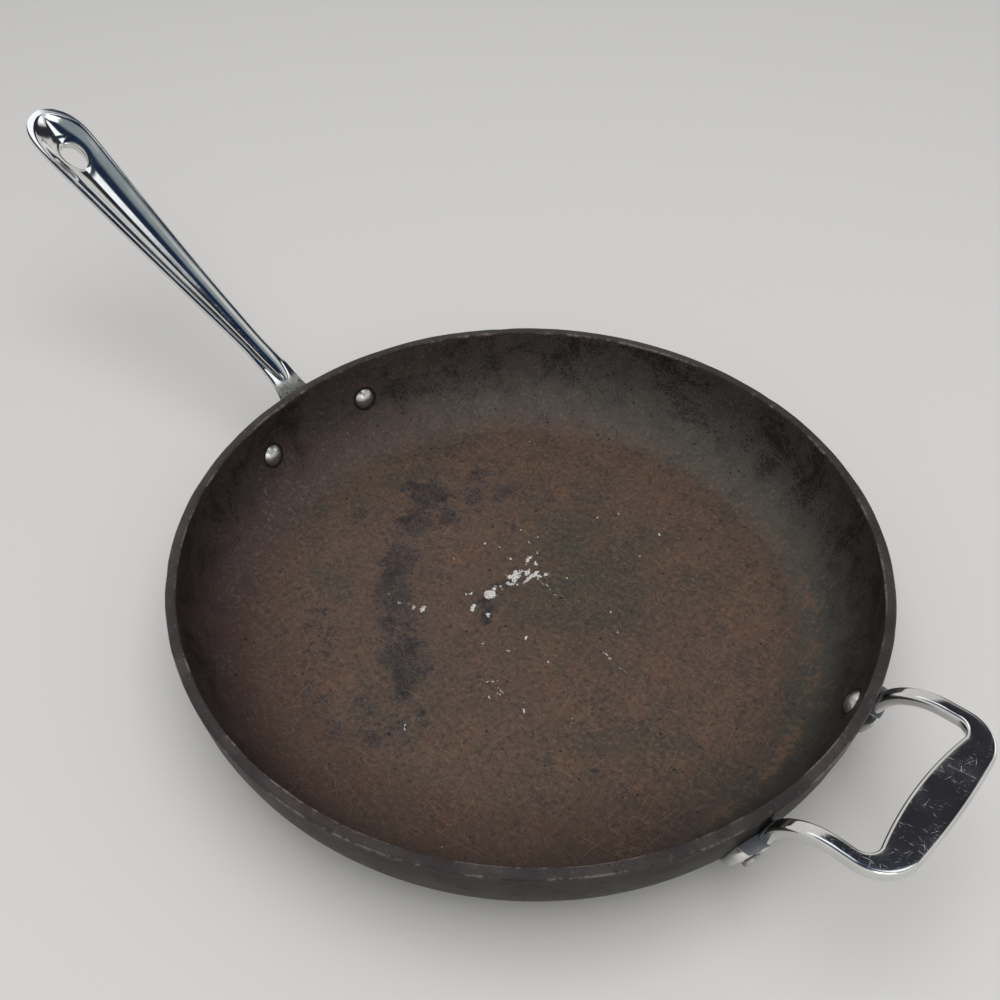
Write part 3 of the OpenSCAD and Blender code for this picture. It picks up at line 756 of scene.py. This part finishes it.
def handle_half():
    """Right half of the bar as one grid and the wall of the hanging hole as another. Each row crosses
    the bar at one x: from the middle line, or the hole's edge, over the scoop and the rounded edge, and
    back below. Underneath, a section is a parabola."""
    eased = (1 - np.cos(np.linspace(0, math.pi, 48))) / 2
    early = np.sin(np.linspace(0, math.pi / 2, 30))
    hole_a = hole_x - hole_half_l * math.cos(slope)
    hole_b = hole_x + hole_half_l * math.cos(slope)
    x = np.unique(np.round(np.concatenate([
        np.linspace(150, scoop_x0, 34),
        scoop_x0 + (waist_x - scoop_x0) * np.linspace(0, 1, 34) ** 2,
        np.linspace(waist_x, hole_a, 90),
        hole_a + (hole_b - hole_a) * eased,
        hole_b + (scoop_x1 - hole_b) * early,
        scoop_x1 + (tip_x - scoop_x1) * early,
    ]), 6))
    wide, scoop = half_width(x)[:, None], scoop_half_width(x)[:, None]
    level, below = edge_height(x)[:, None], depth_below(x)[:, None]
    u = (x - hole_x) / math.cos(slope)
    open_share = np.clip(1 - np.abs(u / hole_half_l) ** hole_power, 0, 1)[:, None]
    gap = hole_r * open_share ** (1 / hole_power)
    x = x[:, None]
    reach = np.maximum(scoop, gap)

    inner_t = np.linspace(0, 1, 20) ** 1.4
    turn = np.linspace(0, math.pi / 2, 15)[1:]
    y_scoop = gap + (reach - gap) * inner_t
    y_edge = reach + (wide - reach) * np.sin(turn) ** 0.8
    y_top = np.hstack([y_scoop, y_edge])
    deep = scoop_depth * (scoop / (grip_w / 2 - edge_w)) ** 0.8
    over = np.where(scoop > 0, 1 - (y_scoop / np.maximum(scoop, 0.01)) ** 2, 0)
    lip = edge_t * end_factor(x, tip_x)
    z_top = level - np.hstack([deep * np.clip(over, 0, 1), lip * (1 - np.cos(turn) ** 0.8)])
    away = (np.hypot(u[:, None] / hole_half_l, y_top / hole_r) - 1) * hole_r
    near = np.clip(1 - away / hole_rounding, 0, 1)
    z_top = z_top + hole_swell * np.exp(-(((away - 1.6) / 1.1) ** 2))
    z_top = z_top - hole_rounding * (1 - np.sqrt(1 - near**2))

    back = np.linspace(0, math.pi / 2, 25)[1:]
    y_low = gap + (wide - gap) * np.cos(back)
    z_low = level - lip - (below - lip) * (1 - (y_low / np.maximum(wide, 1e-6)) ** 2)
    lean = np.exp(-(((x - hole_x) / 14) ** 2)) * np.linspace(0, 1, y_low.shape[1])
    rows = np.stack([
        np.hstack([x + 0 * y_top, x + lean]),
        np.hstack([y_top, y_low]),
        np.hstack([z_top, z_low]),
    ], axis=-1)
    rows[..., 1:] = soften(rows, 3, 1)[..., 1:]
    rows = soften(rows, 2, 0)
    bored = np.abs(u) < hole_half_l - 1e-4
    rows[~bored, 0, 1] = rows[~bored, -1, 1] = 0
    walls = np.sqrt((outer_r(rows[..., 2], flange_t / 2)) ** 2 - rows[..., 1] ** 2)
    rows[..., 0] = np.maximum(rows[..., 0], walls)

    bored = np.convolve(bored, [1, 1, 1], "same") > 0
    down = np.linspace(0, 1, 7)[None, :, None]
    hole = rows[bored, :1] * (1 - down) + rows[bored, -1:] * down
    return rows, hole


def flipped(rows):
    """The same grid on the other side of the middle plane."""
    return rows * np.array([1, -1, 1])


def wall_plate(middle, half_w, low, high, rounding, thick, edge=1.4, thinning=0.0):
    """Closed plate with a rounded-rectangle outline, bent to lie on the pan's wall, seen along +X:
    rings from the middle of its outer face to its edge and back to the middle of its inner face.
    Thinning is the share of its thickness that it loses from top to bottom."""
    quarter = np.radians(np.linspace(0, 90, 10))
    spans = np.linspace(0, 1, 12)[1:-1]

    def outline(inset):
        a, b, r = half_w - inset, (high - low) / 2 - inset, max(rounding - inset, 0.2)
        arcs = [
            np.stack([sy * (a - r) + r * np.cos(quarter + q), sz * (b - r) + r * np.sin(quarter + q)], -1)
            for sy, sz, q in ((1, 1, 0), (-1, 1, math.pi / 2), (-1, -1, math.pi), (1, -1, 1.5 * math.pi))
        ]
        ring = []
        for i, arc in enumerate(arcs):
            after = arcs[(i + 1) % 4][0]
            ring += [arc, arc[-1] + (after - arc[-1]) * spans[:, None]]
        return np.vstack(ring)

    turn = np.linspace(0, math.pi / 2, 7)
    rings = [(outline(edge) * f, thick) for f in np.linspace(0.04, 1, 14)]
    rings += [(outline(edge * (1 - math.sin(q))), thick - edge * (1 - math.cos(q))) for q in turn[1:]]
    rings += [(outline(0), 0.4), (outline(0.3), seat_gap)]
    rings += [(outline(0.3) * f, seat_gap) for f in np.linspace(0.9, 0.04, 8)]
    flat = np.stack([ring for ring, _ in rings])
    y = middle + flat[..., 0]
    z = (low + high) / 2 + flat[..., 1]
    thinned = 1 - thinning * (high - z) / (high - low)
    grown = np.array([height for _, height in rings])[:, None] * thinned
    rows = np.stack([np.sqrt(outer_r(z, grown) ** 2 - y**2), y, z], axis=-1)
    return skin("plate", rows)


def paint_values(piece, **rules):
    """Stores numbers per point, each worked out from the points' x, y and z in millimetres."""
    mesh = piece.data
    place = np.empty(len(mesh.vertices) * 3, np.float32)
    mesh.vertices.foreach_get("co", place)
    x, y, z = place.reshape(-1, 3).T / MM
    for name, rule in rules.items():
        layer = mesh.attributes.new(name, "FLOAT", "POINT")
        layer.data.foreach_set("value", rule(x, y, z).astype(np.float32))


def polished_steel(name, scratched):
    """Mirror-polished steel with fingermarks and fine scratches. Where the scorch value is high it is
    dull grey-green with black specks, where the darkening value is high it is dark, and where resin
    is high it is yellow."""
    material, tree, shader, place = start_material(name)
    scorch, grime, resin = stored(tree, "scorch", "grime", "resin")
    soft = noise(place, 45, 4, 0.6)
    fine = noise(place, 420, 4, 0.7)
    tone = blend(ramp(soft, 0.35, 0.7), (0.60, 0.60, 0.595, 1), (0.70, 0.70, 0.69, 1))
    dull = ramp(sway(soft, 0.8, scorch), 0.30, 0.62)
    cast = blend(ramp(fine, 0.35, 0.65), (0.10, 0.105, 0.092, 1), (0.24, 0.245, 0.22, 1))
    tone = blend(dull, tone, cast)
    darkened = sway(fine, 3.0, times_plus(scorch, 1.7, -1.15))
    # dark where scorch leaves black specks, and on the pads' tops, the arms by the rim and the flange's top
    dark = larger(ramp(darkened, 0.10, 0.30), ramp(grime, 0.25, 0.75))
    tone = blend(times(dark, 0.93), tone, (0.040, 0.047, 0.057, 1))
    sticky = ramp(sway(fine, 1.2, resin), 0.35, 0.6)
    tone = blend(times(sticky, 0.8), tone, (0.42, 0.34, 0.17, 1))
    tree.links.new(tone, shader.inputs["Base Color"])
    clean = calc("SUBTRACT", 1.0, larger(times(dull, 0.6), sticky), clamp=True)
    tree.links.new(times(clean, times_plus(dark, -0.93, 1.0)), shader.inputs["Metallic"])

    curved = bent(place, 0.0016)
    marks = scratches(curved, 0.72, (
        (64, (130, 6400)), (21, (160, 7200)), (96, (100, 5200)), (140, (150, 6600)), (8, (200, 7800)),
        (115, (80, 5600)),
    ))
    marks = times(marks, ramp(soft, 0.38, 0.56))
    marks = times(marks, scratched)
    rough = times_plus(ramp(soft, 0.42, 0.75), 0.07 + 0.03 * scratched, 0.055 + 0.04 * scratched)
    rough = times_plus(marks, 0.20, rough)
    rough = times_plus(times(ramp(fine, 0.60, 0.72), scratched), 0.10, rough)
    rough = times_plus(dull, 0.42, rough)
    rough = times_plus(dark, 0.25, rough)
    tree.links.new(rough, shader.inputs["Roughness"])
    relief = times(marks, -0.16)
    relief = times_plus(times(fine, dull), 1.4, relief)
    relief = times_plus(noise(place, 120, 2, 0.5), 0.10, relief)
    bump = wire("Bump", {"Height": relief, "Distance": 0.00012, "Strength": 0.8})
    tree.links.new(bump, shader.inputs["Normal"])
    return material


half_rows, hole_rows = handle_half()
handle_meshes = [skin("bar", half_rows, wrap=False, capped=False)]
handle_meshes += [skin("bar", flipped(half_rows), wrap=False, capped=False)]
handle_meshes += [skin("bar", side, wrap=False, capped=False) for side in (hole_rows, flipped(hole_rows))]
root_ring = np.vstack([half_rows[0], flipped(half_rows[0])[::-1]])
handle_meshes += [skin("root", np.stack([root_ring, root_ring * 0.02 + root_ring.mean(axis=0) * 0.98]))]
handle_meshes += [wall_plate(0, flange_half_w, flange_low, flange_high, flange_corner, flange_t)]
long_handle = finish_piece(
    "polished_long_handle", handle_meshes, polished_steel("polished_steel", 0.35),
    "long_handle",
)
paint_values(
    long_handle,
    scorch=lambda x, y, z: np.clip((187 - x) / 12, 0, 1) * 0.75 + np.clip((173 - x) / 8, 0, 1) * 0.3,
    grime=lambda x, y, z: np.clip((z - 36) / 4, 0, 1) * np.clip((170 - x) / 4, 0, 1) * 0.7,
    resin=lambda x, y, z: 0 * x,
)


# ---- Helper handle ----
# One casting of the same polished steel: a flat finger loop on two arms that bend down on to the wall,
# each ending in a thick riveted pad. The loop is finely scratched; the pads are dark on top and yellowed
# lower down.

helper_reach = 46.9
helper_w = 87.6
arm_w = 6.8
bar_w = 17.7
loop_t = 5.5
loop_lift = 10.8
loop_rise = math.radians(5.1)
bend_r = 30.0
loop_corner = 17.8
gap_corner = 5.5
bar_bow_out = 1.0
bar_bow_in = 3.0
arm_sink = 1.3
loop_rounding = 1.7
arm_flare = 2.2
loop_crown = 0.12
pad_middle = 44.0
pad_half_w = 10.5
pad_low = 19.5
pad_high = 40.5
pad_corner = 8.0
pad_t = 6.0
pad_thinning = 0.45

bar_x = rim_r + helper_reach
arm_y = helper_w / 2
gap_y = arm_y - arm_w
bend_x = math.sqrt(wall_r**2 - (arm_y - arm_w / 2) ** 2) + bend_r - arm_sink
bend_z = pan_h + loop_lift - bend_r
bend_mid = bend_r - loop_t / 2


def loop_outlines():
    """Matching points of the loop's outer and inner edges, from the end of one arm round to the end of
    the other, as distance along the middle surface and y. The bar's edges bow as parabolas."""
    start = bend_x - bend_mid * math.sin(loop_rise)
    root = -bend_mid * (math.pi / 2 - loop_rise)
    corner_x, corner_y = bar_x - bar_bow_out - loop_corner, arm_y - loop_corner
    inner_x, inner_y = bar_x - bar_w + bar_bow_in - gap_corner, gap_y - gap_corner
    arm = np.linspace(0, 1, 44)[:, None]
    flare = arm_flare * np.clip(1 - arm[:, 0] * 3.2, 0, 1) ** 2
    bend = np.linspace(math.pi / 2, 0, 26)[1:, None]
    bar = np.linspace(1, 0, 26)[1:, None]

    def edge(cx, cy, radius, y, bow, middle, spread):
        straight = np.hstack([root + (cx - start - root) * arm, y + 0 * arm + spread[:, None]])
        arc = np.hstack([cx - start + radius * np.cos(bend), cy + radius * np.sin(bend)])
        across = np.hstack([middle - start + bow * bar**2, cy * bar])
        half = np.vstack([straight, arc, across])
        return np.vstack([half, half[-2::-1] * np.array([1, -1])])

    outer = edge(corner_x, corner_y, loop_corner, arm_y, -bar_bow_out, bar_x, flare)
    inner = edge(inner_x, inner_y, gap_corner, gap_y, bar_bow_in, bar_x - bar_w, -flare)
    return outer, inner


def helper_loop():
    """Rounded-rectangle sections between the two edges, carried along the loop and wrapped over the
    bend: a distance along the middle surface becomes an angle on the bend, then a straight blade."""
    outer, inner = loop_outlines()
    width = np.linalg.norm(outer - inner, axis=1)[:, None]
    r = loop_rounding
    quarter = np.linspace(0, math.pi / 2, 6)
    side = np.linspace(0, 1, 9)[1:-1]
    flat_w, flat_t = width / 2 - r, loop_t / 2 - r
    pieces = []
    for sa, sb, q in ((1, 1, 0), (-1, 1, math.pi / 2), (-1, -1, math.pi), (1, -1, 1.5 * math.pi)):
        pieces.append((
            sa * flat_w + r * np.cos(quarter + q),
            sb * flat_t + r * np.sin(quarter + q) + 0 * width,
        ))
    a, b = [], []
    for i, (pa, pb) in enumerate(pieces):
        na, nb = pieces[(i + 1) % 4]
        a += [pa, pa[:, -1:] + (na[:, :1] - pa[:, -1:]) * side]
        b += [pb, pb[:, -1:] + (nb[:, :1] - pb[:, -1:]) * side]
    a, b = np.hstack(a), np.hstack(b)
    crown = loop_crown * np.clip(1 - (a / (width / 2)) ** 2, 0, 1) * np.sign(b)
    across = (outer - inner) / width
    middle = (outer + inner) / 2
    u = middle[:, :1] + a * across[:, :1]
    y = middle[:, 1:] + a * across[:, 1:]
    rho = bend_mid + b + crown
    angle = math.pi / 2 + loop_rise + np.clip(-u, 0, None) / bend_mid
    ahead = np.clip(u, 0, None)
    x = bend_x + rho * np.cos(angle) + ahead * math.cos(loop_rise)
    z = bend_z + rho * np.sin(angle) + ahead * math.sin(loop_rise)
    return skin("loop", np.stack([x, y, z], axis=-1))


def spin_half_turn(piece):
    """Moves the points of a piece drawn along +X to its place along -X."""
    piece.data.transform(Matrix.Rotation(math.pi, 4, "Z"))


helper_meshes = [helper_loop()]
for middle in (pad_middle, -pad_middle):
    pad = wall_plate(middle, pad_half_w, pad_low, pad_high, pad_corner, pad_t, 1.2, pad_thinning)
    helper_meshes.append(pad)
helper = finish_piece(
    "polished_helper_handle", helper_meshes, polished_steel("scratched_steel", 1.0),
    "helper_handle",
)
spin_half_turn(helper)


def pad_darkening(x, y, z):
    """Darkening on the pads' tops and on the arms where they pass the rim."""
    out = np.hypot(x, y)
    shoulder = np.clip((z - pad_high + 2.6) / 0.8, 0, 1) * np.clip((170.6 - out) / 0.8, 0, 1)
    return np.maximum(
        shoulder * (z < pad_high + 0.2), 0.8 * np.clip((167.5 - out) / 2.5, 0, 1) * (z > pad_high),
    )


paint_values(
    helper,
    scorch=lambda x, y, z: np.clip((172 - np.hypot(x, y)) / 10, 0, 1) * 0.45,
    grime=pad_darkening,
    resin=lambda x, y, z: np.where(
        y < 0, np.clip((34 - z) / 12, 0, 1) * 0.7, 0.15 * np.clip((24 - z) / 8, 0, 1),
    ),
)


# ---- Rivets ----
# Four satin steel rivets: a big low dome inside the pan, a shank through the wall and the flange or pad,
# and a small flattened tail outside. The domes are dented and darkened in a ring round their foot.

head_r = 6.0
head_h = 3.2
shank_r = 2.7
tail_r = 4.0
tail_h = 1.8
spot_depth = 0.3
tail_round = 0.6
ring_r = 5.7
helper_tail_lift = 1.5


def satin_steel():
    """Satin steel with soft wear, fine scratches and a dark ring where the dome meets the pan."""
    material, tree, shader, place = start_material("satin_steel")
    ring = stored(tree, "ring")[0]
    soft = noise(place, 260, 3, 0.6)
    fine = noise(place, 1400, 3, 0.7)
    tone = blend(ramp(soft, 0.35, 0.7), (0.46, 0.455, 0.44, 1), (0.62, 0.615, 0.60, 1))
    tone = blend(times(ramp(fine, 0.60, 0.72), 0.6), tone, (0.16, 0.15, 0.14, 1))
    # a dark ring at the dome's foot, and darkening on the helper's rivet tails
    edge = sway(soft, 0.8, ring)
    darkened = ramp(edge, 0.45, 0.9)
    tone = blend(times(darkened, 0.85), tone, (0.035, 0.030, 0.028, 1))
    tree.links.new(tone, shader.inputs["Base Color"])
    tree.links.new(times_plus(darkened, -0.6, 1.0), shader.inputs["Metallic"])
    tree.links.new(times_plus(soft, 0.25, 0.20), shader.inputs["Roughness"])
    relief = times_plus(fine, 0.4, times(soft, 0.8))
    bump = wire("Bump", {"Height": relief, "Distance": 0.00012, "Strength": 0.8})
    tree.links.new(bump, shader.inputs["Normal"])
    return material


def rivet(name, node, pitch, drop, plate, side, turned, tail_lift, seed, material):
    """Profile turned about the rivet's axis, which is square to the inner wall at its height and leans
    down outwards. Seeded dents press the dome in, and tail_lift raises the tail (mm)."""
    seat_z = pan_h - drop
    seat_r = float(inner_r(seat_z))
    inside_r = wall_r - wall_t - base_r
    tilt = math.atan2((curve_z - seat_z) / (curve_z - floor_t) ** 2, (seat_r - base_r) / inside_r**2)
    along = np.linspace(0, 20, 2001)
    reach = seat_r + along * math.cos(tilt)
    outside = reach > outer_r(np.clip(seat_z - along * math.sin(tilt), 0, curve_z), plate)
    grip = along[np.argmax(outside)] - spot_depth

    dome_r = (head_r**2 + head_h**2) / (2 * head_h)
    swing = np.linspace(0.03, math.asin(head_r / dome_r), 26)
    dome = np.stack([dome_r * np.sin(swing), spot_depth - head_h + dome_r * (1 - np.cos(swing))], -1)
    tail = corner(tail_r - tail_round, grip + tail_h - tail_round, tail_round, 0, 90, 6)
    profile = np.vstack([
        dome,
        [[head_r - 0.2, spot_depth + 0.02], [shank_r + 0.1, spot_depth + 0.02]],
        [[shank_r, spot_depth + 0.3], [shank_r, grip], [tail_r, grip]],
        tail,
        np.stack([np.linspace(tail_r - 1, 0.2, 6), grip + tail_h + 0.12 * np.linspace(0, 1, 6)], -1),
    ])
    count = 72
    around = np.arange(count) / count * 2 * math.pi
    r = np.repeat(profile[:, :1], count, axis=1)
    h = np.repeat(profile[:, 1:], count, axis=1)
    pits = np.random.default_rng(seed)
    u, v = r * np.cos(around), r * np.sin(around)
    for _ in range(7):
        a, b = pits.uniform(-4.2, 4.2, 2)
        size, deep = pits.uniform(0.5, 1.3), pits.uniform(0.05, 0.16)
        h = h + np.where(h < 0.3, deep * np.exp(-((u - a) ** 2 + (v - b) ** 2) / size**2), 0)
    on_tail = h > grip - 0.01
    rows = np.stack([
        seat_r + h * math.cos(tilt) + u * math.sin(tilt),
        v,
        seat_z - h * math.sin(tilt) + u * math.cos(tilt) + np.where(on_tail, tail_lift, 0),
    ], axis=-1)
    mesh = skin(name, rows)
    foot = np.clip((r - ring_r) / (head_r - ring_r), 0, 1)
    close = np.append(np.where(on_tail, 0.6 * (tail_lift > 0), foot), [0, 0])
    layer = mesh.attributes.new("ring", "FLOAT", "POINT")
    layer.data.foreach_set("value", close.astype(np.float32))
    azimuth = side * math.asin(pitch / 2 / seat_r) + (math.pi if turned else 0)
    mesh.transform(Matrix.Rotation(azimuth, 4, "Z"))
    return finish_piece(name, [mesh], material, node)


steel = satin_steel()
seed = 11
for handle, pitch, drop, plate, turned, tail_lift, sides in (
    ("handle", handle_pitch, handle_drop, flange_t, False, 0, (1, -1)),
    ("helper", helper_pitch, helper_drop, pad_t, True, helper_tail_lift, (-1, 1)),
):
    for word, side in zip(("left", "right"), sides):
        rivet(
            f"rivet_{handle}_{word}", f"{handle}_rivet_{word}", pitch, drop, plate, side, turned, tail_lift,
            seed, steel,
        )
        seed += 1
